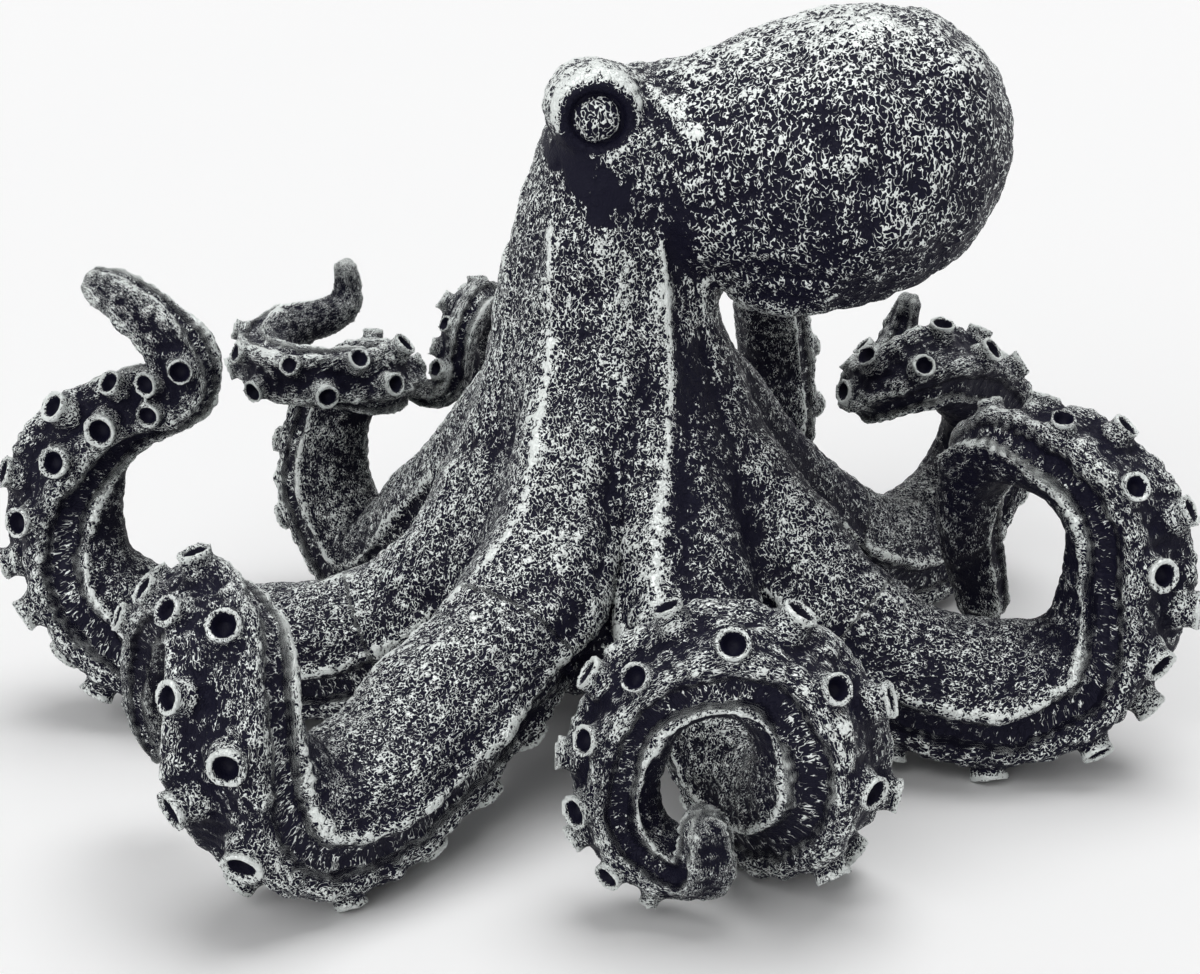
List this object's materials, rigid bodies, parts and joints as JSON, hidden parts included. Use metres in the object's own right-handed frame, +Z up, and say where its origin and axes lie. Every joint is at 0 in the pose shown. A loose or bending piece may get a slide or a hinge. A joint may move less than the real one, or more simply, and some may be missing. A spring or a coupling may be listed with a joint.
{
  "type": "octopus figurine",
  "caption": "Cold-cast octopus ornament with a leaning domed head, raised eyes and suckered arms that curl out and up around a slim neck; it stands on its arms.",
  "frame": {"origin": "middle of the figurine's footprint box, on the surface it stands on", "axes": "+X to the right arm, -Y to the front arm with the ring, +Z up; the head leans towards +X"},
  "size_m": [0.2355, 0.2006, 0.1424],
  "materials": {
    "cast_resin": "near-black cast resin, dry-brushed silver on every raised place, satin",
    "pin_steel": "plain cut wire"
  },
  "bodies": {
    "root": {"body_casting": "cast_resin", "front_left_arm": "cast_resin", "front_arm": "cast_resin", "right_arm": "cast_resin", "rear_right_arm": "cast_resin", "rear_arm": "cast_resin", "rear_left_arm": "cast_resin", "left_rear_arm": "cast_resin", "left_arm": "cast_resin", "dowel_pins": "pin_steel"}
  },
  "joints": []
}
